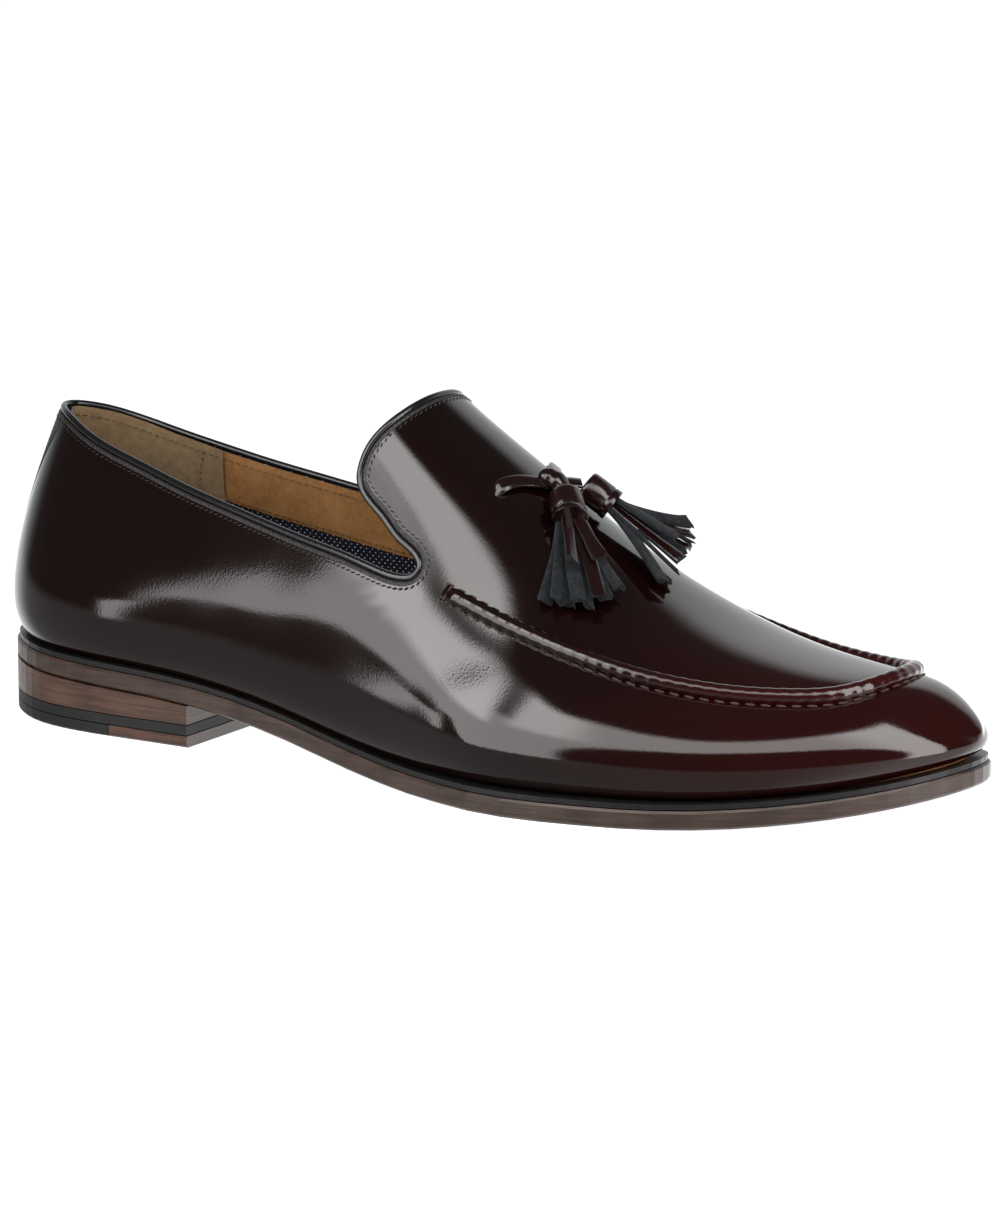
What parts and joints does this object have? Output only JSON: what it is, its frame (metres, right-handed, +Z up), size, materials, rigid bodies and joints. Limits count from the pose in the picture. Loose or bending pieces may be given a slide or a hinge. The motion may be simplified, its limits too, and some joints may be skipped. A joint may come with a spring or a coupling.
{
  "type": "tassel loafer",
  "caption": "Slip-on dress shoe, open at the collar, with a raised apron seam, a knotted leather tie, two fringed tassels and a low stacked heel.",
  "frame": {"origin": "on the floor under the middle of the heel's rubber piece, on its flat ground face", "axes": "+X from heel to toe, +Y to the inner (big toe) side of this right shoe, +Z up from the floor"},
  "size_m": [0.3018, 0.1051, 0.0998],
  "materials": {
    "cherry_leather": "high-gloss brushed box leather, black-cherry",
    "black_binding": "smooth black rolled binding, semi-gloss",
    "back_tape": "matt black textured strip",
    "sock_leather": "natural tan lining leather, satin",
    "black_welt": "black rand, satin",
    "sole_brown": "dark brown sole edge, satin",
    "stack_brown": "stacked brown heel lifts, satin",
    "heel_rubber": "black moulded rubber, matt",
    "tassel_leather": "black-cherry leather with raw dark edges"
  },
  "bodies": {
    "root": {"upper": "cherry_leather", "apron_seam": "cherry_leather", "collar_binding": "black_binding", "back_strip": "back_tape", "insole": "sock_leather", "welt": "black_welt", "outsole": "sole_brown", "heel_stack": "stack_brown", "heel_mid_lift": "heel_rubber", "top_piece_rear": "heel_rubber", "top_piece_front": "stack_brown", "tassel_tie": "tassel_leather", "tassel_outer": "tassel_leather", "tassel_inner": "tassel_leather"}
  },
  "joints": []
}
